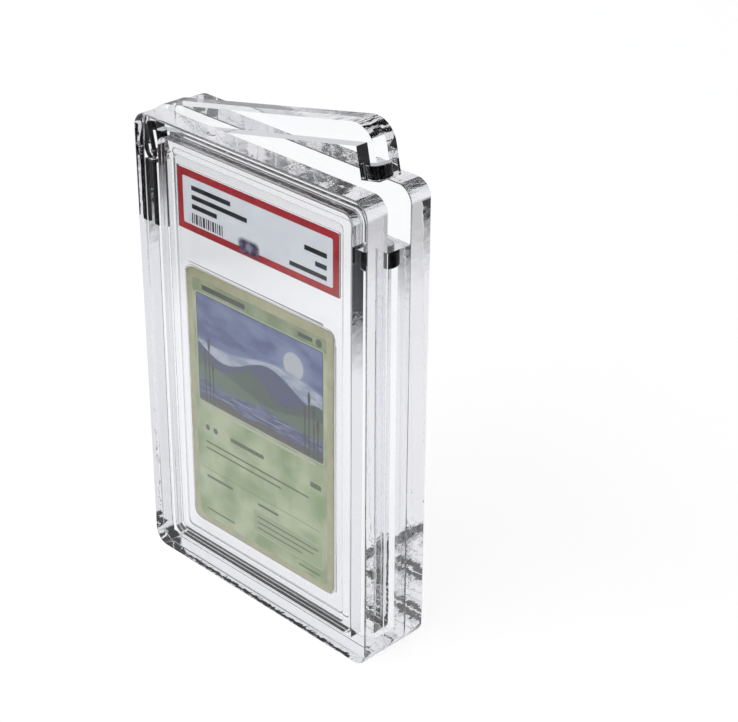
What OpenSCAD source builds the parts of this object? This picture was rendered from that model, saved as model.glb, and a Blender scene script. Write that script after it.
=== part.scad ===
// Clear acrylic display case for one graded trading card slab, with a tilting magnetic lid.
// Front faces -Y, +Z is up, and the origin is the middle of the case's base.

/* [Walls] */

// Thickness of the front plate and of the back plate
plate_t = 7.8; // [5:0.1:10]
// Radius of the plates' four corners
corner_r = 5; // [2:0.5:7]
// Width of the frame's left column, which holds the hinge barrel
left_w = 5.3; // [4.8:0.1:8]
// Width of the frame's right column, which holds the magnet
right_w = 9.5; // [9:0.1:14]
// Height of the frame's bottom rail
base_h = 4.7; // [3:0.1:9]

/* [Slab] */

// Width of the card slab
slab_w = 80.6; // [78:0.1:84]
// Height of the card slab
slab_h = 136; // [130:0.5:140]
// Thickness of the card slab
slab_t = 6.4; // [5.8:0.1:8]
// Radius of the slab's corners
slab_r = 3.2; // [1.5:0.1:5]
// Width of the raised rim round the slab's window
rim_w = 3.4; // [2:0.1:5]
// Height of the raised rim above the slab's window
rim_h = 0.6; // [0.3:0.1:1]
// Gap between the slab and each column
slab_side_gap = 0.3; // [0.2:0.05:0.8]
// Gap between the slab and the front plate
slab_front_gap = 0.2; // [0.1:0.1:1]
// Gap between the slab and the back plate
slab_back_gap = 2; // [0.2:0.1:3]
// Gap between the slab's top and the closed lid
slab_top_gap = 0.6; // [0.4:0.1:2]

/* [Card and label] */

// Width of the card
card_w = 63; // [60:0.5:66]
// Height of the card
card_h = 88; // [84:0.5:91]
// Thickness of the card
card_t = 0.4; // [0.3:0.05:0.6]
// Radius of the card's corners
card_r = 3; // [1:0.5:4]
// Height of the card's lower edge above the slab's bottom
card_z = 9.4; // [8:0.1:12]
// Width of the label
label_w = 67; // [60:0.5:68]
// Height of the label
label_h = 19.2; // [15:0.1:21]
// Thickness of the label
label_t = 0.3; // [0.2:0.05:0.5]
// Distance from the slab's top to the label's upper edge
label_top = 7.8; // [5:0.1:9]
// Thickness of the inner tray
tray_t = 1; // [0.8:0.1:1.6]
// Width of the inner tray's rail beside its widest insert
tray_side = 1.6; // [0.8:0.1:3]
// Distance from the slab's top and bottom to the inner tray
tray_end = 4.6; // [3:0.1:6]
// Gap between the tray's windows and what lies in them
tray_gap = 0.3; // [0.1:0.1:0.5]

/* [Lid] */

// Height of the lid's bar
lid_bar_h = 6.7; // [5:0.1:10]
// Length of the lid's legs below the bar
leg_h = 9.2; // [8:0.1:14]
// Radius of the lid's two top corners
lid_r = 7.5; // [3:0.5:8]
// Gap between the lid and each plate
lid_face_gap = 0.3; // [0.2:0.05:0.8]
// Gap between the closed lid and the frame's columns
lid_rest_gap = 0.15; // [0.1:0.05:0.4]
// Finger gap at the lid's right end
lid_end_gap = 2.2; // [1:0.1:3.5]
// Gap between the lid's right leg and the slab's pocket
leg_side_gap = 0.3; // [0.2:0.05:0.6]
// Angle by which the lid stands open at rest
lid_open = 12; // [0:1:80]

/* [Hinge and magnets] */

// Diameter of the hinge barrels
barrel_d = 3.6; // [3:0.1:4]
// Length of the lower hinge barrel
barrel_low_l = 21; // [12:0.5:30]
// Length of the upper hinge barrel
barrel_up_l = 10.4; // [8:0.1:11]
// Thickness of the lower barrel's tongue
tongue_t = 1.4; // [1:0.1:1.8]
// Width of the lower barrel's tongue
tongue_w = 3; // [2.4:0.1:3.2]
// Gap on each side of the tongue
tongue_gap = 0.25; // [0.2:0.05:0.4]
// Diameter of the hinge pin
pin_d = 1.4; // [1:0.1:1.6]
// Radial clearance between the hinge pin and the tongue's eye
pin_gap = 0.05; // [0.02:0.01:0.08]
// Distance of each pin end below the lid's face
pin_sink = 0.3; // [0.1:0.1:0.8]
// Diameter of the two magnets
magnet_d = 5.5; // [4:0.1:6]
// Height of the lid's magnet
lid_magnet_h = 4; // [2:0.5:6]
// Height of the frame's magnet
frame_magnet_h = 6; // [2:0.5:8]

/* [Hidden] */

$fn = 64;
barrel_sink = 0.01;
cut = 1;

pocket_w = slab_w + 2 * slab_side_gap;
frame_t = slab_t + slab_front_gap + slab_back_gap;
case_w = left_w + pocket_w + right_w;
case_h = base_h + slab_h + slab_top_gap + lid_bar_h;
half_w = case_w / 2;
half_t = frame_t / 2;

pocket_x = -half_w + left_w;
slab_x = pocket_x + pocket_w / 2;
slab_y = -half_t + slab_front_gap + slab_t / 2;
shell_t = slab_t / 2;
window_r = slab_r / 2;

tray_w = max(card_w, label_w) + 2 * tray_side;
tray_h = slab_h - 2 * tray_end;
label_z = slab_h - label_top - label_h;

lid_t = frame_t - 2 * lid_face_gap;
lid_low = case_h - lid_bar_h;
leg_low = lid_low - leg_h;
split_z = leg_low - lid_rest_gap;
lid_end = half_w - lid_end_gap;
leg_x = pocket_x + pocket_w + leg_side_gap;
leg_w = lid_end - leg_x;
knuckle_r = left_w / 2;
hinge_x = -half_w + knuckle_r;
hinge_z = leg_low + knuckle_r;

slot_t = tongue_t + 2 * tongue_gap;
slot_r = tongue_w / 2 + tongue_gap;
barrel_up_z = hinge_z - sqrt(knuckle_r * knuckle_r - barrel_d * barrel_d / 4) + barrel_sink;
barrel_low_z = split_z - barrel_low_l;
magnet_x = leg_x + leg_w / 2;

acrylic = [0.86, 0.91, 0.93, 0.35];
shell_clear = [0.93, 0.95, 0.97, 0.5];

// A flat outline in X and Z, made solid from y0 to y1
module slice(y0, y1) {
  translate([0, y1, 0])
    rotate([90, 0, 0])
      linear_extrude(height = y1 - y0)
        children();
}

// A rectangle from its lower left corner, with one radius on all corners
module round_rect(x, z, w, h, r) {
  translate([x + r, z])
    square([w - 2 * r, h]);
  translate([x, z + r])
    square([w, h - 2 * r]);
  for (px = [x + r, x + w - r], pz = [z + r, z + h - r])
    translate([px, pz])
      circle(r = r);
}

module pin_along_y(x, z, r, y0, y1) {
  translate([x, y1, z])
    rotate([90, 0, 0])
      cylinder(r = r, h = y1 - y0);
}

module plate_outline() {
  round_rect(-half_w, 0, case_w, case_h, corner_r);
}

module front_plate() {
  color(acrylic)
    slice(-half_t - plate_t, -half_t)
      plate_outline();
}

module back_plate() {
  color(acrylic)
    slice(half_t, half_t + plate_t)
      plate_outline();
}

// The frame's outline below the lid, with the slab's pocket left open
module frame_outline() {
  difference() {
    union() {
      translate([-half_w + corner_r, 0])
        square([case_w - 2 * corner_r, split_z]);
      translate([-half_w, corner_r])
        square([case_w, split_z - corner_r]);
      for (px = [-half_w + corner_r, half_w - corner_r])
        translate([px, corner_r])
          circle(r = corner_r);
    }
    translate([pocket_x, base_h])
      square([pocket_w, case_h]);
  }
}

module u_frame() {
  color(acrylic)
    difference() {
      slice(-half_t, half_t)
        frame_outline();
      translate([hinge_x, 0, barrel_low_z])
        cylinder(d = barrel_d, h = barrel_low_l + cut);
      translate([magnet_x, 0, split_z - frame_magnet_h])
        cylinder(d = magnet_d, h = frame_magnet_h + cut);
    }
}

// Puts closed lid parts into their pose at rest
module opened() {
  translate([hinge_x, 0, hinge_z])
    rotate([0, -lid_open, 0])
      translate([-hinge_x, 0, -hinge_z])
        children();
}

// The slot in which the tongue swings, open below and to the left
module tongue_slot() {
  slice(-slot_t / 2, slot_t / 2) {
    translate([hinge_x, hinge_z])
      circle(r = slot_r);
    translate([hinge_x - slot_r, leg_low - cut])
      square([2 * slot_r, hinge_z - leg_low + cut]);
    translate([-half_w - cut, leg_low - cut])
      square([hinge_x + half_w + cut, hinge_z + slot_r - leg_low + cut]);
  }
}

// The lid's closed outline: a bar, a round-ended hinge leg and a magnet leg
module lid_outline() {
  translate([-half_w + lid_r, lid_low])
    square([lid_end + half_w - 2 * lid_r, lid_bar_h]);
  translate([-half_w + lid_r, case_h - lid_r])
    circle(r = lid_r);
  translate([lid_end - lid_r, case_h - lid_r])
    circle(r = lid_r);
}

module lid_flat() {
  difference() {
    union() {
      lid_outline();
      translate([-half_w, hinge_z])
        square([left_w, case_h - lid_r - hinge_z]);
      translate([hinge_x, hinge_z])
        circle(r = knuckle_r);
      translate([leg_x, leg_low])
        square([leg_w, case_h - lid_r - leg_low]);
    }
    translate([-half_w + left_w, leg_low])
      square([leg_x - pocket_x, lid_low - leg_low]);
  }
}

module lid() {
  color(acrylic)
    opened()
      difference() {
        slice(-lid_t / 2, lid_t / 2)
          lid_flat();
        translate([hinge_x, 0, leg_low - cut])
          cylinder(d = barrel_d, h = barrel_up_z - leg_low + barrel_up_l + cut);
        tongue_slot();
        pin_along_y(hinge_x, hinge_z, pin_d / 2, -lid_t / 2 - cut, lid_t / 2 + cut);
        translate([magnet_x, 0, leg_low - cut])
          cylinder(d = magnet_d, h = lid_magnet_h + cut);
      }
}

module barrel_lower() {
  color([0.1, 0.1, 0.11])
    difference() {
      union() {
        translate([hinge_x, 0, barrel_low_z])
          cylinder(d = barrel_d, h = barrel_low_l);
        slice(-tongue_t / 2, tongue_t / 2) {
          translate([hinge_x - tongue_w / 2, split_z - cut])
            square([tongue_w, hinge_z - split_z + cut]);
          translate([hinge_x, hinge_z])
            circle(d = tongue_w);
        }
      }
      pin_along_y(hinge_x, hinge_z, pin_d / 2 + pin_gap, -tongue_t, tongue_t);
    }
}

module barrel_upper() {
  color([0.1, 0.1, 0.11])
    opened()
      difference() {
        translate([hinge_x, 0, barrel_up_z])
          cylinder(d = barrel_d, h = barrel_up_l);
        tongue_slot();
        pin_along_y(hinge_x, hinge_z, pin_d / 2, -barrel_d, barrel_d);
      }
}

module hinge_pin() {
  color([0.6, 0.61, 0.63])
    pin_along_y(hinge_x, hinge_z, pin_d / 2, -lid_t / 2 + pin_sink, lid_t / 2 - pin_sink);
}

module magnet_lid() {
  color([0.75, 0.76, 0.78])
    opened()
      translate([magnet_x, 0, leg_low])
        cylinder(d = magnet_d, h = lid_magnet_h);
}

module magnet_frame() {
  color([0.75, 0.76, 0.78])
    translate([magnet_x, 0, split_z - frame_magnet_h])
      cylinder(d = magnet_d, h = frame_magnet_h);
}

// The slab's outline, and the two hollows cut into each shell
module slab_outline() {
  round_rect(slab_x - slab_w / 2, base_h, slab_w, slab_h, slab_r);
}

module rim_hollow() {
  round_rect(slab_x - slab_w / 2 + rim_w, base_h + rim_w, slab_w - 2 * rim_w,
             slab_h - 2 * rim_w, window_r);
}

module tray_outline() {
  round_rect(slab_x - tray_w / 2, base_h + tray_end, tray_w, tray_h, window_r);
}

module slab_front() {
  color(shell_clear)
    difference() {
      slice(slab_y - shell_t, slab_y)
        slab_outline();
      slice(slab_y - shell_t - cut, slab_y - shell_t + rim_h)
        rim_hollow();
      slice(slab_y - tray_t / 2, slab_y + cut)
        tray_outline();
    }
}

module slab_back() {
  color(shell_clear)
    difference() {
      slice(slab_y, slab_y + shell_t)
        slab_outline();
      slice(slab_y + shell_t - rim_h, slab_y + shell_t + cut)
        rim_hollow();
      slice(slab_y - cut, slab_y + tray_t / 2)
        tray_outline();
    }
}

// The clear inner tray, which holds the card and the label in their places
module slab_tray() {
  color([0.96, 0.97, 0.98, 0.6])
    slice(slab_y - tray_t / 2, slab_y + tray_t / 2)
      difference() {
        tray_outline();
        round_rect(slab_x - card_w / 2 - tray_gap, base_h + card_z, card_w + 2 * tray_gap,
                   card_h + tray_gap, card_r);
        translate([slab_x - label_w / 2 - tray_gap, base_h + label_z])
          square([label_w + 2 * tray_gap, label_h + tray_gap]);
      }
}

module slab_label() {
  color([0.72, 0.1, 0.12])
    slice(slab_y - tray_t / 2, slab_y - tray_t / 2 + label_t)
      translate([slab_x - label_w / 2, base_h + label_z])
        square([label_w, label_h]);
}

module card() {
  color([0.6, 0.66, 0.5])
    slice(slab_y - tray_t / 2, slab_y - tray_t / 2 + card_t)
      round_rect(slab_x - card_w / 2, base_h + card_z, card_w, card_h, card_r);
}

front_plate();
back_plate();
u_frame();
lid();
barrel_lower();
barrel_upper();
hinge_pin();
magnet_lid();
magnet_frame();
slab_front();
slab_back();
slab_tray();
slab_label();
card();
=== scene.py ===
"""Looks of the clear acrylic card display case: clear layers, metal inserts, slab, label and card."""
import math

import bmesh
import bpy
from mathutils import Matrix, Vector


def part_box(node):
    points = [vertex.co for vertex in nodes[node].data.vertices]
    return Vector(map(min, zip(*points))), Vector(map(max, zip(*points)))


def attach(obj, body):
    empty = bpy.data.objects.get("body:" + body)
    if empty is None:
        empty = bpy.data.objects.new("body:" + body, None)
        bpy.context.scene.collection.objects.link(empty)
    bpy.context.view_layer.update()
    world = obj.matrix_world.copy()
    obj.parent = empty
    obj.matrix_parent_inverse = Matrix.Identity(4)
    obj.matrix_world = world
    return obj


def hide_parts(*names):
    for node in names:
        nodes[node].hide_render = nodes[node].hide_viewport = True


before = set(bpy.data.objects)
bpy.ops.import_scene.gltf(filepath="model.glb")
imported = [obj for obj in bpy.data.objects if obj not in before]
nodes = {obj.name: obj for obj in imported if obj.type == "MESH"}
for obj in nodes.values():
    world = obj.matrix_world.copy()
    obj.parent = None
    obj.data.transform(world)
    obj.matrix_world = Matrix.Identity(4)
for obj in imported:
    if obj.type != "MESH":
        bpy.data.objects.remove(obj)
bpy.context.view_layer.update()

MM = 0.001

# Overlap of two glued faces, so that no film of air is seen between them
BOND = 0.02 * MM
# How far a face may be from the glued plane and still count as lying in it
SAME_PLANE = 0.01 * MM
# Depth of the slab's window below its rim
RIM = 0.6 * MM
# How far the metal inserts are pushed out into the plastic round them, in mm
INSERT_PRESS_MM = 0.015
# How far the tray and the prints are pulled in from their neighbours, in mm
TRAY_PLAY_MM = 0.03
PRINT_PLAY_MM = 0.01
# Points closer than this are one point, and faces with less than this angle between them are one face
WELD = 0.002 * MM
FLAT_DEGREES = 1.0
# Edges sharper than this are rounded
SHARP_DEGREES = 32.0
# Faces whose normal's Y is above this look to the rear
REARWARD = 0.7

PLASTIC_IOR = 1.49
# Weakens the reflections at the many faces that meet, since the glue in a real seam has none
SEAM_SHEEN = (0.16, 0.16, 0.165)

PRINT_ROUGHNESS = 0.45
PRINT_SHEEN = 0.15
PRINT_SHEEN_ROUGHNESS = 0.15
# Darkens the card's print to the photo's tone
CARD_TONE = 0.78


# Node helpers

def new_material(name):
    mat = bpy.data.materials.new(name)
    mat.use_nodes = True
    tree = mat.node_tree
    tree.nodes.clear()
    out = tree.nodes.new("ShaderNodeOutputMaterial")
    return mat, tree, out


def add(tree, kind, **values):
    node = tree.nodes.new(kind)
    for key, value in values.items():
        setattr(node, key, value)
    return node


def feed(tree, socket, value):
    """Sets a socket to a number or a colour, or links another node's output to it."""
    if isinstance(value, (int, float)):
        socket.default_value = value
    elif isinstance(value, tuple):
        socket.default_value = (*value, 1.0)
    else:
        tree.links.new(value, socket)


def calculate(tree, op, *operands):
    node = add(tree, "ShaderNodeMath", operation=op)
    for socket, value in zip(node.inputs, operands):
        feed(tree, socket, value)
    return node.outputs["Value"]


def mix_colours(tree, factor, a, b, blend_type="MIX"):
    node = add(tree, "ShaderNodeMix", data_type="RGBA", blend_type=blend_type)
    for key, value in (("Factor", factor), ("A", a), ("B", b)):
        feed(tree, node.inputs[key], value)
    return node.outputs["Result"]


def mix_shaders(tree, factor, a, b):
    node = add(tree, "ShaderNodeMixShader")
    for socket, value in zip(node.inputs, (factor, a, b)):
        feed(tree, socket, value)
    return node.outputs["Shader"]


def ramp(tree, source, low, high, a, b):
    """Maps source from low..high to a..b."""
    node = add(tree, "ShaderNodeMapRange")
    for key, value in (("Value", source), ("From Min", low), ("From Max", high),
                       ("To Min", a), ("To Max", b)):
        feed(tree, node.inputs[key], value)
    return node.outputs["Result"]


def noise(tree, scale, detail=4.0, stretch=None):
    """A noise texture in object coordinates, with its scale in features per metre."""
    source = add(tree, "ShaderNodeTexCoord").outputs["Object"]
    if stretch is not None:
        mapping = add(tree, "ShaderNodeMapping")
        mapping.inputs["Scale"].default_value = stretch
        tree.links.new(source, mapping.inputs["Vector"])
        source = mapping.outputs["Vector"]
    tex = add(tree, "ShaderNodeTexNoise")
    for key, value in (("Vector", source), ("Scale", scale), ("Detail", detail), ("Roughness", 0.5)):
        feed(tree, tex.inputs[key], value)
    return tex.outputs["Fac"]


def axis_parts(tree, vector):
    """The X, Y and Z outputs of a vector."""
    node = add(tree, "ShaderNodeSeparateXYZ")
    tree.links.new(vector, node.inputs["Vector"])
    return node.outputs


def object_place(tree):
    return axis_parts(tree, add(tree, "ShaderNodeTexCoord").outputs["Object"])


def facing(tree, axis):
    """How squarely a flat face looks along an axis, either way: 0 to 1."""
    parts = axis_parts(tree, add(tree, "ShaderNodeNewGeometry").outputs["True Normal"])
    return calculate(tree, "ABSOLUTE", parts[axis])


def add_bump(tree, bsdf, height, strength, distance):
    bump = add(tree, "ShaderNodeBump")
    for key, value in (("Strength", strength), ("Distance", distance), ("Height", height)):
        feed(tree, bump.inputs[key], value)
    tree.links.new(bump.outputs["Normal"], bsdf.inputs["Normal"])


# Clear plastic and metal

def clear_material(name, tint, wave, wave_scale, edge_wave, edge_scale, roughest):
    """Clear plastic. The sheet's faces have a faint long wave, its cut and polished edges a stronger ripple.

    The ripple is strongest up to 20 mm above the floor, and weaker from there to 100 mm."""
    mat, tree, out = new_material(name)
    bsdf = add(tree, "ShaderNodeBsdfPrincipled")
    polish = ramp(tree, noise(tree, scale=120.0, detail=3.0), 0.45, 0.75, 0.0, roughest)
    for key, value in (("Base Color", tint), ("Transmission Weight", 1.0), ("IOR", PLASTIC_IOR),
                       ("Specular Tint", SEAM_SHEEN), ("Roughness", polish)):
        feed(tree, bsdf.inputs[key], value)
    edge = ramp(tree, facing(tree, "Y"), 0.2, 0.7, edge_wave, 0.0)
    foot = ramp(tree, object_place(tree)["Z"], 20 * MM, 100 * MM, 1.0, 0.4)
    strength = calculate(tree, "MULTIPLY", edge, foot)
    ripple = noise(tree, edge_scale, detail=2.0, stretch=(1.0, 0.6, 1.0))
    ripple = calculate(tree, "MULTIPLY", ripple, strength)
    height = calculate(tree, "MULTIPLY_ADD", noise(tree, wave_scale, detail=2.0), wave, ripple)
    add_bump(tree, bsdf, height, strength=1.0, distance=1.0 * MM)
    tree.links.new(bsdf.outputs["BSDF"], out.inputs["Surface"])
    return mat


def metal_material(name, dark, light, smoothest, roughest, turned, metallic=1.0, tint=1.0, side=1.0):
    """Metal with fine turning lines, a little mottling and worn brighter spots.

    The upright side can be darker than the ends: this is painted shade, since the metal is the same all over. A
    metallic share below 1 stands for a coating."""
    mat, tree, out = new_material(name)
    bsdf = add(tree, "ShaderNodeBsdfPrincipled")
    spots = noise(tree, scale=900.0, detail=5.0)
    mottled = mix_colours(tree, ramp(tree, spots, 0.4, 0.7, 0.0, 1.0), dark, light)
    # Painted shade: the upright side's colour is scaled by the side share, and the ends keep theirs
    side_painted_shade = ramp(tree, facing(tree, "Z"), 0.4, 0.9, side, 1.0)
    for key, value in (("Metallic", metallic), ("Specular Tint", (tint, tint, tint)),
                       ("Base Color", mix_colours(tree, 1.0, mottled, side_painted_shade, "MULTIPLY")),
                       ("Roughness", ramp(tree, spots, 0.3, 0.7, smoothest, roughest))):
        feed(tree, bsdf.inputs[key], value)
    lines = noise(tree, scale=3000.0, detail=2.0, stretch=turned)
    add_bump(tree, bsdf, lines, strength=0.12, distance=0.02 * MM)
    tree.links.new(bsdf.outputs["BSDF"], out.inputs["Surface"])
    return mat


# Turning lines run round an upright insert, or round a pin that lies from front to back
ROUND_UPRIGHT = (0.05, 0.05, 1.0)
ROUND_PIN = (0.05, 1.0, 0.05)

acrylic = clear_material("clear_acrylic", (0.985, 0.99, 0.995), wave=0.02, wave_scale=35.0,
                         edge_wave=0.13, edge_scale=280.0, roughest=0.004)
slab_clear = clear_material("slab_plastic", (0.985, 0.985, 0.99), wave=0.03, wave_scale=60.0,
                            edge_wave=0.05, edge_scale=200.0, roughest=0.02)
black_steel = metal_material("blackened_steel", (0.012, 0.012, 0.013), (0.03, 0.029, 0.03), 0.35, 0.55,
                             ROUND_UPRIGHT, metallic=0.25, tint=0.3)
bright_steel = metal_material("bright_steel", (0.52, 0.53, 0.55), (0.66, 0.67, 0.68), 0.16, 0.3, ROUND_PIN)
# The magnets' upright side gets painted shade, darkened to near black, though their plating is the same all
# over
nickel = metal_material("magnet_plating", (0.5, 0.5, 0.52), (0.72, 0.72, 0.74), 0.12, 0.28,
                        ROUND_UPRIGHT, side=0.09)


# Print

def card_material(name, centre, layers, grain, tone=1.0):
    """Printed card: shapes laid one over another, in mm from the card's middle, on a fine paper grain.

    Each layer is (mask, colour). The first layer has no mask. A mask is built from the place on the card
    alone, and a colour is a tuple or a function that builds one."""
    mat, tree, out = new_material(name)
    bsdf = add(tree, "ShaderNodeBsdfPrincipled")
    place = object_place(tree)

    def calc(op, *operands):
        return calculate(tree, op, *operands)

    x = calc("MULTIPLY", calc("SUBTRACT", place["X"], centre[0]), 1 / MM)
    z = calc("MULTIPLY", calc("SUBTRACT", place["Z"], centre[1]), 1 / MM)
    colour = None
    for mask, print_colour in layers:
        if callable(print_colour):
            print_colour = print_colour(tree)
        colour = mix_colours(tree, mask(calc, x, z, tree), colour, print_colour) if mask else print_colour
    for key, value in (("Roughness", PRINT_ROUGHNESS), ("Coat Weight", PRINT_SHEEN),
                       ("Coat Roughness", PRINT_SHEEN_ROUGHNESS),
                       ("Base Color", mix_colours(tree, 1.0, colour, (tone, tone, tone), "MULTIPLY"))):
        feed(tree, bsdf.inputs[key], value)
    add_bump(tree, bsdf, noise(tree, grain), strength=0.05, distance=0.01 * MM)
    tree.links.new(bsdf.outputs["BSDF"], out.inputs["Surface"])
    return mat


def length(calc, a, b):
    return calc("SQRT", calc("ADD", calc("MULTIPLY", a, a), calc("MULTIPLY", b, b)))


def box_mask(cx, cz, w, h, r=0.0, soft=0.06):
    """1 inside a rectangle with rounded corners, 0 outside."""
    def mask(calc, x, z, tree):
        def outside(at, middle, reach):
            away = calc("ABSOLUTE", calc("SUBTRACT", at, middle))
            return calc("MAXIMUM", calc("SUBTRACT", away, reach), 0.0)

        distance = length(calc, outside(x, cx, w / 2 - r), outside(z, cz, h / 2 - r))
        return ramp(tree, distance, r + soft, r - soft if r > soft else 0.0, 0.0, 1.0)
    return mask


def disc_mask(cx, cz, r, soft=0.1, squash=1.0):
    """1 inside a disc, or inside an upright oval when squash is below 1."""
    def mask(calc, x, z, tree):
        dx = calc("SUBTRACT", x, cx)
        dz = calc("MULTIPLY", calc("SUBTRACT", z, cz), squash)
        return ramp(tree, length(calc, dx, dz), r + soft, r - soft, 0.0, 1.0)
    return mask


def below_mask(height, swell, wave_mm, shift, soft=0.2):
    """1 below a wavy line that runs across the card."""
    def mask(calc, x, z, tree):
        wave = calc("MULTIPLY", calc("SINE", calc("ADD", calc("DIVIDE", x, wave_mm), shift)), swell)
        line = calc("ADD", wave, height)
        return ramp(tree, calc("SUBTRACT", z, line), soft, -soft, 0.0, 1.0)
    return mask


def bars_mask(left, cz, h, widths):
    """Upright bars of uneven width, like a barcode without a code."""
    def mask(calc, x, z, tree):
        out = None
        for start, width in widths:
            bar = box_mask(left + start + width / 2, cz, width, h, soft=0.03)(calc, x, z, tree)
            out = bar if out is None else calc("MAXIMUM", out, bar)
        return out
    return mask


def in_picture(mask):
    """The part of a mask that lies in the card's picture."""
    def cut(calc, x, z, tree):
        return calc("MULTIPLY", PICTURE_MASK(calc, x, z, tree), mask(calc, x, z, tree))
    return cut


def cloud(scale, low, high, a, b, stretch=(1.0, 1.0, 1.0)):
    """A colour that drifts between a and b."""
    def colour(tree):
        drift = ramp(tree, noise(tree, scale, detail=3.0, stretch=stretch), low, high, 0.0, 1.0)
        return mix_colours(tree, drift, a, b)
    return colour


def face_of(node):
    """The middle (X and Z, in metres) and the width and height (in mm) of a flat upright node."""
    low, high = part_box(node)
    return (((low[0] + high[0]) / 2, (low[2] + high[2]) / 2),
            (high[0] - low[0]) / MM, (high[2] - low[2]) / MM)


INK = (0.03, 0.03, 0.035)
PRINT_GREEN = (0.1, 0.15, 0.07)
TITLE_GREEN = (0.07, 0.08, 0.05)
CREAM = (0.62, 0.64, 0.5)
PALE_BLUE = (0.3, 0.36, 0.5)
REED = (0.035, 0.06, 0.05)
REED_HEAD = (0.06, 0.05, 0.06)
GLINT = (0.42, 0.5, 0.62)
LABEL_GRAIN, CARD_GRAIN = 6000.0, 5000.0
# Where each bar starts, and its width
BARS = [(0.0, 0.5), (1.0, 0.3), (1.7, 0.8), (3.0, 0.3), (3.7, 0.5), (4.8, 0.9), (6.2, 0.3), (7.0, 0.6),
        (8.1, 0.3), (8.9, 0.8), (10.2, 0.4), (11.1, 0.3), (11.9, 0.6), (13.0, 0.4)]
# Middle, width and height of the card's picture
PICTURE = (0.0, 18.2, 54.0, 36.0)
PICTURE_MASK = box_mask(*PICTURE, 0.8)


def picture_frame(margin, r):
    return box_mask(PICTURE[0], PICTURE[1], PICTURE[2] + margin, PICTURE[3] + margin, r)


label_at, label_w, label_h = face_of("slab_label")
label_red = cloud(400.0, 0.3, 0.7, (0.42, 0.014, 0.024), (0.52, 0.026, 0.036))
label_back_red = cloud(200.0, 0.3, 0.7, (0.4, 0.02, 0.028), (0.5, 0.03, 0.04))
label_field = cloud(300.0, 0.3, 0.7, (0.74, 0.79, 0.86), (0.82, 0.85, 0.88))
seal = cloud(900.0, 0.35, 0.65, (0.05, 0.04, 0.09), (0.2, 0.18, 0.28))
label_print = card_material("label_print", label_at, [
    (None, label_red),
    (box_mask(0, 0, label_w - 4.4, label_h - 4.4, 0.6), label_field),
    (box_mask(-19.0, 4.4, 17.0, 1.5, 0.2), INK),
    (box_mask(-15.5, 1.5, 24.0, 1.5, 0.2), INK),
    (box_mask(-22.0, -1.4, 11.0, 1.5, 0.2), INK),
    (box_mask(24.5, 1.4, 9.0, 1.5, 0.2), INK),
    (box_mask(26.6, -2.2, 4.6, 1.5, 0.2), INK),
    (box_mask(21.4, -5.4, 15.0, 1.4, 0.2), INK),
    (bars_mask(-27.6, -5.2, 3.2, BARS), INK),
    (box_mask(-3.0, -6.7, 8.6, 4.4, 1.6, 0.6), seal),
    (disc_mask(-3.0, -6.7, 1.2, 0.4), (0.3, 0.3, 0.4)),
], LABEL_GRAIN)

card_at = face_of("card")[0]
border = cloud(250.0, 0.3, 0.7, (0.46, 0.46, 0.26), (0.6, 0.58, 0.36))
green = cloud(75.0, 0.38, 0.62, (0.3, 0.43, 0.18), (0.6, 0.7, 0.44))
top_band = cloud(140.0, 0.35, 0.65, (0.24, 0.33, 0.16), (0.42, 0.5, 0.28))
sky = cloud(90.0, 0.38, 0.62, (0.075, 0.115, 0.3), (0.2, 0.27, 0.5), stretch=(1.0, 1.0, 2.2))
mist = cloud(160.0, 0.4, 0.6, (0.32, 0.4, 0.56), (0.58, 0.64, 0.74), stretch=(1.0, 1.0, 3.0))
water = cloud(200.0, 0.4, 0.6, (0.05, 0.075, 0.19), (0.16, 0.2, 0.38), stretch=(1.0, 1.0, 5.0))
layers = [
    (None, border),
    (box_mask(0, -0.4, 57.6, 82.6, 1.8), green),
    (box_mask(0, 38.6, 57.6, 4.6, 1.2), top_band),
    (picture_frame(1.4, 1.0), (0.62, 0.63, 0.5)),
    (picture_frame(0.7, 0.9), PRINT_GREEN),
    (PICTURE_MASK, sky),
    (in_picture(disc_mask(15.0, 27.4, 6.4, 1.6)), (0.25, 0.32, 0.52)),
    (in_picture(disc_mask(15.0, 27.4, 4.2, 0.25)), (0.62, 0.66, 0.7)),
    (in_picture(below_mask(22.5, 2.2, 9.0, 0.4, 0.5)), mist),
    (in_picture(below_mask(19.5, 3.2, 6.4, 0.9)), (0.055, 0.085, 0.19)),
    (in_picture(below_mask(15.2, 2.8, 4.6, 2.4)), (0.07, 0.13, 0.1)),
    (in_picture(below_mask(11.2, 2.0, 7.2, 4.2)), (0.12, 0.2, 0.13)),
    (in_picture(below_mask(7.4, 0.7, 5.2, 1.0)), water),
    (in_picture(below_mask(2.4, 0.5, 3.0, 0.3)), (0.11, 0.1, 0.09)),
]
# Reeds: place across the card, and height
for stem, tall in ((-24.0, 15.0), (-22.2, 19.0), (-20.6, 12.0), (19.6, 13.0), (21.4, 18.0), (23.4, 14.0),
                   (25.0, 10.0)):
    layers.append((in_picture(box_mask(stem, tall / 2, 0.55, tall, 0.25)), REED))
    layers.append((in_picture(disc_mask(stem, tall + 1.4, 0.62, 0.1, 0.3)), REED_HEAD))
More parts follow.
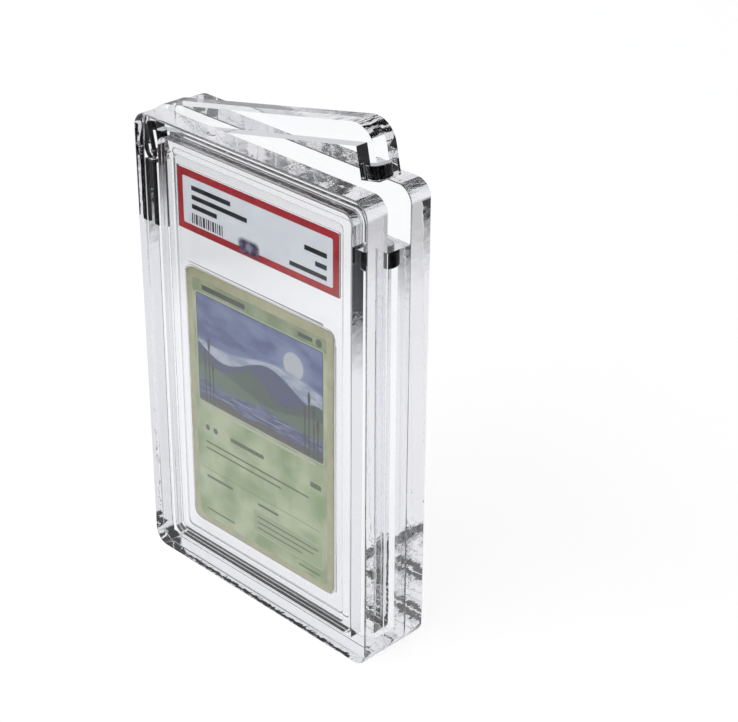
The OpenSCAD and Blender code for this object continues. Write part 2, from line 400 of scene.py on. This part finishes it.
# Glints on the water: place across, height and width
for across, height, width in ((-8.0, 5.6, 9.0), (3.0, 4.2, 12.0), (10.0, 6.3, 7.0), (-14.0, 3.6, 6.0)):
    layers.append((in_picture(box_mask(across, height, width, 0.22, 0.1)), GLINT))
layers += [
    (box_mask(-15.0, 38.7, 19.0, 1.7, 0.3), TITLE_GREEN),
    (box_mask(20.0, 38.7, 6.0, 1.3, 0.3), TITLE_GREEN),
    (disc_mask(25.6, 38.7, 1.3), PRINT_GREEN),
    (box_mask(0, -1.6, 48.0, 0.9, 0.4), (0.6, 0.62, 0.48)),
    (disc_mask(-24.0, -9.0, 1.5), CREAM),
    (disc_mask(-24.0, -9.0, 1.0), PRINT_GREEN),
    (disc_mask(-20.4, -9.0, 1.5), CREAM),
    (disc_mask(-20.4, -9.0, 1.0), PRINT_GREEN),
    (box_mask(-6.0, -9.0, 15.0, 1.4, 0.3), PRINT_GREEN),
    (box_mask(24.0, -9.0, 4.6, 1.7, 0.3), PRINT_GREEN),
    (box_mask(-2.0, -14.2, 46.0, 0.6, 0.2), PRINT_GREEN),
    (box_mask(-8.0, -16.4, 34.0, 0.6, 0.2), PRINT_GREEN),
    (box_mask(-0.5, -24.0, 53.0, 0.25, 0.1), (0.24, 0.32, 0.16)),
    (box_mask(-19.0, -26.6, 12.0, 0.9, 0.2), PRINT_GREEN),
    (box_mask(3.0, -26.6, 9.0, 0.9, 0.2), PRINT_GREEN),
    (box_mask(11.5, -33.2, 31.0, 8.2, 0.8), (0.6, 0.62, 0.46)),
    (box_mask(11.5, -33.2, 30.4, 7.6, 0.6), (0.42, 0.52, 0.29)),
    (box_mask(11.5, -31.2, 27.0, 0.5, 0.2), PRINT_GREEN),
    (box_mask(10.5, -33.2, 25.0, 0.5, 0.2), PRINT_GREEN),
    (box_mask(8.0, -35.2, 20.0, 0.5, 0.2), PRINT_GREEN),
    (box_mask(-19.0, -38.8, 13.0, 0.6, 0.2), PRINT_GREEN),
    (box_mask(21.0, -39.6, 9.0, 0.6, 0.2), PRINT_GREEN),
]
card_print = card_material("card_print", card_at, layers, CARD_GRAIN, CARD_TONE)
back_blue = cloud(60.0, 0.35, 0.65, (0.07, 0.12, 0.28), (0.12, 0.19, 0.4))
back_inner_blue = cloud(80.0, 0.35, 0.65, (0.08, 0.13, 0.3), (0.14, 0.2, 0.42))
card_back = card_material("card_back", card_at, [
    (None, border),
    (box_mask(0, 0, 57.0, 82.0, 2.0), back_blue),
    (box_mask(0, 0, 52.0, 77.0, 1.6), PALE_BLUE),
    (box_mask(0, 0, 51.0, 76.0, 1.4), back_inner_blue),
    (disc_mask(0, 0, 17.0), PALE_BLUE),
    (disc_mask(0, 0, 16.4), (0.1, 0.16, 0.34)),
    (disc_mask(0, 0, 9.0), PALE_BLUE),
    (disc_mask(0, 0, 8.4), (0.12, 0.19, 0.4)),
], CARD_GRAIN)
label_back = card_material("label_back", label_at, [
    (None, label_red),
    (box_mask(0, 0, label_w - 3.0, label_h - 3.0, 0.6), label_back_red),
    (box_mask(0, 0, 40.0, 3.0, 1.5), label_field),
], LABEL_GRAIN)


# Pieces

def place_mesh(name, bm):
    """Makes a smooth-shaded object of the mesh and frees it."""
    mesh = bpy.data.meshes.new(name)
    bm.to_mesh(mesh)
    bm.free()
    if mesh.attributes.get("custom_normal"):
        mesh.attributes.remove(mesh.attributes["custom_normal"])
    for polygon in mesh.polygons:
        polygon.use_smooth = True
    obj = bpy.data.objects.new(name, mesh)
    bpy.context.scene.collection.objects.link(obj)
    return obj


def clean_copy(node, name):
    """The CAD node's shape as one clean mesh with flat faces, so that its edges can be rounded."""
    source = nodes[node]
    bm = bmesh.new()
    bm.from_mesh(source.data)
    bm.transform(source.matrix_world)
    bmesh.ops.remove_doubles(bm, verts=bm.verts, dist=WELD)
    bmesh.ops.dissolve_limit(bm, angle_limit=math.radians(FLAT_DEGREES), verts=bm.verts, edges=bm.edges)
    return place_mesh(name, bm)


def dress(obj, node, body, material, slot, round_mm, segments=2):
    """Rounds the sharp edges and puts the piece in the node's place."""
    obj.data.materials.append(material)
    bevel = obj.modifiers.new("edges", "BEVEL")
    bevel.width = round_mm * MM
    bevel.segments = segments
    bevel.limit_method = "ANGLE"
    bevel.angle_limit = math.radians(SHARP_DEGREES)
    bevel.harden_normals = True
    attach(obj, body)
    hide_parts(node)


def glue(obj, seam_y, move):
    """Moves the face that lies in the seam, so that it overlaps its neighbour."""
    for vertex in obj.data.vertices:
        if abs(vertex.co.y - seam_y) < SAME_PLANE:
            vertex.co.y += move


def pull_in(obj, gap_mm):
    """Pulls every face in by a hair, or pushes it out where the gap is negative."""
    bm = bmesh.new()
    bm.from_mesh(obj.data)
    bm.normal_update()
    for vert in bm.verts:
        vert.co = vert.co - vert.calc_shell_factor() * vert.normal * gap_mm * MM
    bm.to_mesh(obj.data)
    bm.free()


def back_faces(obj, material):
    """Gives the faces that look to the rear their own print."""
    obj.data.materials.append(material)
    for polygon in obj.data.polygons:
        if polygon.normal.y > REARWARD:
            polygon.material_index = 1


half_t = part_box("u_frame")[1][1]

front_plate = clean_copy("front_plate", "case_front_plate")
glue(front_plate, -half_t, BOND)
dress(front_plate, "front_plate", "case", acrylic, "clear_acrylic", round_mm=0.5, segments=3)

back_plate = clean_copy("back_plate", "case_back_plate")
glue(back_plate, half_t, -BOND)
dress(back_plate, "back_plate", "case", acrylic, "clear_acrylic", round_mm=0.5, segments=3)

u_frame = clean_copy("u_frame", "case_u_frame")
dress(u_frame, "u_frame", "case", acrylic, "clear_acrylic", round_mm=0.25)

lid = clean_copy("lid", "tilting_lid")
dress(lid, "lid", "lid", acrylic, "clear_acrylic", round_mm=0.4, segments=3)

for node, body, material, slot, round_mm in (
        ("barrel_lower", "case", black_steel, "blackened_steel", 0.15),
        ("barrel_upper", "lid", black_steel, "blackened_steel", 0.15),
        ("hinge_pin", "lid", bright_steel, "bright_steel", 0.1),
        ("magnet_lid", "lid", nickel, "magnet_plating", 0.25),
        ("magnet_frame", "case", nickel, "magnet_plating", 0.25)):
    piece = clean_copy(node, node + "_metal")
    pull_in(piece, -INSERT_PRESS_MM)
    dress(piece, node, body, material, slot, round_mm)

shell_low, shell_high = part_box("slab_front")

slab_front = clean_copy("slab_front", "slab_shell_front")
glue(slab_front, shell_high[1], BOND / 2)
dress(slab_front, "slab_front", "case", slab_clear, "slab_plastic", round_mm=0.3)

slab_back = clean_copy("slab_back", "slab_shell_back")
glue(slab_back, shell_high[1], -BOND / 2)
dress(slab_back, "slab_back", "case", slab_clear, "slab_plastic", round_mm=0.3)

slab_tray = clean_copy("slab_tray", "slab_inner_tray")
pull_in(slab_tray, TRAY_PLAY_MM)
dress(slab_tray, "slab_tray", "case", slab_clear, "slab_plastic", round_mm=0.12)

label = clean_copy("slab_label", "slab_label_print")
pull_in(label, PRINT_PLAY_MM)
dress(label, "slab_label", "case", label_print, "label_paper", round_mm=0.04)
back_faces(label, label_back)

card = clean_copy("card", "card_print")
pull_in(card, PRINT_PLAY_MM)
dress(card, "card", "case", card_print, "card_stock", round_mm=0.08)
back_faces(card, card_back)


# Fine moulded ribs on the slab's front window, above the card and to its right

# How far a rib stands out of the window, its edges' rounding, and how far it ends before the card's corner
RIB_HEIGHT, RIB_EDGE, RIB_END = 0.35 * MM, 0.15 * MM, 3 * MM
# Where a rib's width begins and ends, measured from the card's edge
RIB_ABOVE = (1.6 * MM, 2.3 * MM)
RIB_BESIDE = (1.7 * MM, 2.3 * MM)


def rib(name, low, high):
    """A bar with rounded edges between two corners."""
    bm = bmesh.new()
    bmesh.ops.create_cube(bm, size=1.0)
    for vert in bm.verts:
        vert.co = Vector([low[k] if vert.co[k] < 0 else high[k] for k in range(3)])
    bmesh.ops.bevel(bm, geom=list(bm.edges), offset=RIB_EDGE, segments=3, profile=0.5, affect="EDGES")
    obj = place_mesh(name, bm)
    obj.data.materials.append(slab_clear)
    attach(obj, "case")


card_low, card_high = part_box("card")
window_y = shell_low[1] + RIM
rib_front, rib_back = window_y - RIB_HEIGHT, window_y + BOND
rib("window_rib_top", (card_low[0] + RIB_END, rib_front, card_high[2] + RIB_ABOVE[0]),
    (card_high[0] - RIB_END, rib_back, card_high[2] + RIB_ABOVE[1]))
rib("window_rib_side", (card_high[0] + RIB_BESIDE[0], rib_front, card_low[2] + RIB_END),
    (card_high[0] + RIB_BESIDE[1], rib_back, card_high[2] - RIB_END))


# Stage. The case stands on a white sheet in a light tent. Seen straight both are white, and through the plastic
# too, apart from the tent's grey lower wall. In what the plastic's faces mirror, the bench beyond the sheet is
# dark, the wall is light grey, and the tent has two openings: a grey one in front and above, and a dark one
# behind, above and to the right. They give the plastic its dark lines.

# Radius of the white sheet that the case stands on, and the width of its soft edge
SHEET, SHEET_EDGE = 0.2, 0.05
FLOOR_REACH = 3.0
FLOOR_DROP = 0.02 * MM
FLOOR_COLOUR = (0.9, 0.9, 0.905)
# Share of the floor's own glow for the rays that show it, beside its lit surface
FLOOR_GLOW = 0.9
WHITE = (1.0, 1.0, 1.0)
SHEET_MIRRORED = (0.8, 0.795, 0.82)
BENCH_MIRRORED = (0.03, 0.03, 0.033)
# Share of the bench's darkness that is left behind the case, on its left
BENCH_BACK_LEFT = 0.4
WALL_MIRRORED = (0.84, 0.835, 0.86)
LOW_WALL = (0.66, 0.66, 0.69)
ROOM_LIGHT, ROOM_STRENGTH = (0.93, 0.95, 1.0), 0.55
# Openings of the tent: direction, cosines where it starts and is full, colour
FRONT_GAP = ((0.2, -0.82, 0.5), 0.68, 0.8, (0.16, 0.16, 0.165))
BACK_GAP = ((0.38, 0.58, 0.7), 0.7, 0.8, (0.015, 0.015, 0.016))
# The soft box lights matt surfaces alone, such as the prints: direction, cosines, colour, strength
SOFTBOX = ((-0.16, -0.82, 0.55), 0.6, 0.9, (1.0, 0.99, 0.98), 6.0)


def ray_facts(tree):
    """Facts about the ray that asks, each 0 or 1, and the light path's own outputs.

    Shown: it comes from the camera, or from a clear or shiny face. Mirrored: a face has mirrored it on its
    way. Unscattered: it has met no matt surface, so it doesn't light one."""
    path = add(tree, "ShaderNodeLightPath").outputs
    shown = calculate(tree, "MAXIMUM", path["Is Camera Ray"], path["Is Transmission Ray"])
    shown = calculate(tree, "MAXIMUM", shown, path["Is Glossy Ray"])
    mirrored = calculate(tree, "GREATER_THAN", path["Glossy Depth"], 0.5)
    unscattered = calculate(tree, "LESS_THAN", path["Diffuse Depth"], 0.5)
    return shown, mirrored, unscattered, path


def emission(tree, colour):
    node = add(tree, "ShaderNodeEmission")
    feed(tree, node.inputs["Color"], colour)
    feed(tree, node.inputs["Strength"], 1.0)
    return node.outputs["Emission"]


floor_mat, tree, out = new_material("studio_floor")
shown, mirrored, unscattered, path = ray_facts(tree)
diffuse = add(tree, "ShaderNodeBsdfDiffuse")
feed(tree, diffuse.inputs["Color"], FLOOR_COLOUR)
position = add(tree, "ShaderNodeNewGeometry").outputs["Position"]
away = add(tree, "ShaderNodeVectorMath", operation="LENGTH")
tree.links.new(position, away.inputs[0])
beyond = ramp(tree, away.outputs["Value"], SHEET, SHEET + SHEET_EDGE, 0.0, 1.0)
spot = axis_parts(tree, position)
back_left = calculate(tree, "SUBTRACT", spot["Y"], spot["X"])
bench = calculate(tree, "MULTIPLY", beyond, ramp(tree, back_left, 0.1, 0.2, 1.0, BENCH_BACK_LEFT))
bench = calculate(tree, "MULTIPLY", bench, mirrored)
bench = calculate(tree, "MULTIPLY", bench, unscattered)
near = mix_shaders(tree, mirrored, emission(tree, WHITE), emission(tree, SHEET_MIRRORED))
tones = mix_shaders(tree, bench, near, emission(tree, BENCH_MIRRORED))
glow = calculate(tree, "MAXIMUM", calculate(tree, "MULTIPLY", shown, FLOOR_GLOW), bench)
tree.links.new(mix_shaders(tree, glow, diffuse.outputs["BSDF"], tones), out.inputs["Surface"])

mesh = bpy.data.meshes.new("studio_floor")
corners = ((-1, -1), (1, -1), (1, 1), (-1, 1))
mesh.from_pydata([(x * FLOOR_REACH, y * FLOOR_REACH, 0.0) for x, y in corners], [], [(0, 1, 2, 3)])
floor = bpy.data.objects.new("studio_floor", mesh)
bpy.context.scene.collection.objects.link(floor)
floor.location.z = -FLOOR_DROP
floor.data.materials.append(floor_mat)

world = bpy.data.worlds.new("studio")
bpy.context.scene.world = world
world.use_nodes = True
tree = world.node_tree
tree.nodes.clear()
out = add(tree, "ShaderNodeOutputWorld")
shown, mirrored, unscattered, path = ray_facts(tree)
direction = add(tree, "ShaderNodeTexCoord").outputs["Generated"]


def backdrop(colour, strength=1.0):
    node = add(tree, "ShaderNodeBackground")
    feed(tree, node.inputs["Color"], colour)
    feed(tree, node.inputs["Strength"], strength)
    return node.outputs["Background"]


def towards(axis, low, high):
    """1 for the directions near the axis, and 0 away from it."""
    node = add(tree, "ShaderNodeVectorMath", operation="DOT_PRODUCT")
    node.inputs[1].default_value = Vector(axis).normalized()
    tree.links.new(direction, node.inputs[0])
    return ramp(tree, node.outputs["Value"], low, high, 0.0, 1.0)


dark_share = calculate(tree, "MULTIPLY", mirrored, unscattered)
low_share = ramp(tree, axis_parts(tree, direction)["Z"], 0.0, 0.5, 1.0, 0.0)
low_share = calculate(tree, "MULTIPLY", low_share, unscattered)
low_share = calculate(tree, "MULTIPLY", low_share, calculate(tree, "GREATER_THAN", path["Ray Depth"], 0.5))
tent = mix_shaders(tree, dark_share, backdrop(WHITE), backdrop(WALL_MIRRORED))
tent = mix_shaders(tree, low_share, tent, backdrop(LOW_WALL))
for axis, low, high, colour in (FRONT_GAP, BACK_GAP):
    gap = calculate(tree, "MULTIPLY", towards(axis, low, high), dark_share)
    tent = mix_shaders(tree, gap, tent, backdrop(colour))
axis, low, high, colour, strength = SOFTBOX
scattered = calculate(tree, "GREATER_THAN", path["Diffuse Depth"], 0.5)
softbox = calculate(tree, "MULTIPLY", towards(axis, low, high), scattered)
tent = mix_shaders(tree, softbox, tent, backdrop(colour, strength))
tree.links.new(mix_shaders(tree, shown, backdrop(ROOM_LIGHT, ROOM_STRENGTH), tent), out.inputs["Surface"])

# The key light gives the floor its soft shadow. It isn't seen in the clear faces or through them
KEY_AT = Vector((-0.3, -1.5, 1.0))
KEY_AIM = Vector((0.0, 0.0, 0.08))
KEY_WIDTH, KEY_HEIGHT, KEY_WATTS = 2.6, 1.8, 80.0
key_data = bpy.data.lights.new("key", "AREA")
key_data.shape = "RECTANGLE"
key_data.size = KEY_WIDTH
key_data.size_y = KEY_HEIGHT
key_data.energy = KEY_WATTS
key = bpy.data.objects.new("key", key_data)
key.location = KEY_AT
key.rotation_euler = (KEY_AIM - KEY_AT).to_track_quat("-Z", "Y").to_euler()
key.visible_glossy = False
key.visible_transmission = False
bpy.context.scene.collection.objects.link(key)


# Camera, from the fit to the photo: angles in degrees, focal length in pixels, place in mm

AZIMUTH, ELEVATION, ROLL = 45.086, 28.382, 0.359
FOCAL_PX, PHOTO_WIDTH_PX = 1921.8, 738.0
CENTRE = (369.25, -331.42, 347.59)
SENSOR_WIDTH = 36.0
azimuth, elevation, roll = (math.radians(angle) for angle in (AZIMUTH, ELEVATION, ROLL))
forward = Vector((-math.sin(azimuth) * math.cos(elevation), math.cos(azimuth) * math.cos(elevation),
                  -math.sin(elevation)))
level_right = Vector((math.cos(azimuth), math.sin(azimuth), 0))
level_up = level_right.cross(forward)
right = level_right * math.cos(roll) + level_up * math.sin(roll)
up = level_up * math.cos(roll) - level_right * math.sin(roll)
camera_data = bpy.data.cameras.new("camera")
camera_data.sensor_width = SENSOR_WIDTH
camera_data.lens = FOCAL_PX * SENSOR_WIDTH / PHOTO_WIDTH_PX
camera_data.clip_start = 0.01
camera = bpy.data.objects.new("camera", camera_data)
turn = Matrix((right, up, -forward)).transposed().to_4x4()
camera.matrix_world = Matrix.Translation(Vector(CENTRE) * MM) @ turn
bpy.context.scene.collection.objects.link(camera)
bpy.context.scene.camera = camera

# Light passes many clear faces on its way, so it needs many bounces
scene = bpy.context.scene
scene.view_settings.view_transform = "Standard"
scene.cycles.max_bounces = 48
scene.cycles.transmission_bounces = 40
scene.cycles.glossy_bounces = 40
scene.cycles.transparent_max_bounces = 16
scene.cycles.diffuse_bounces = 3
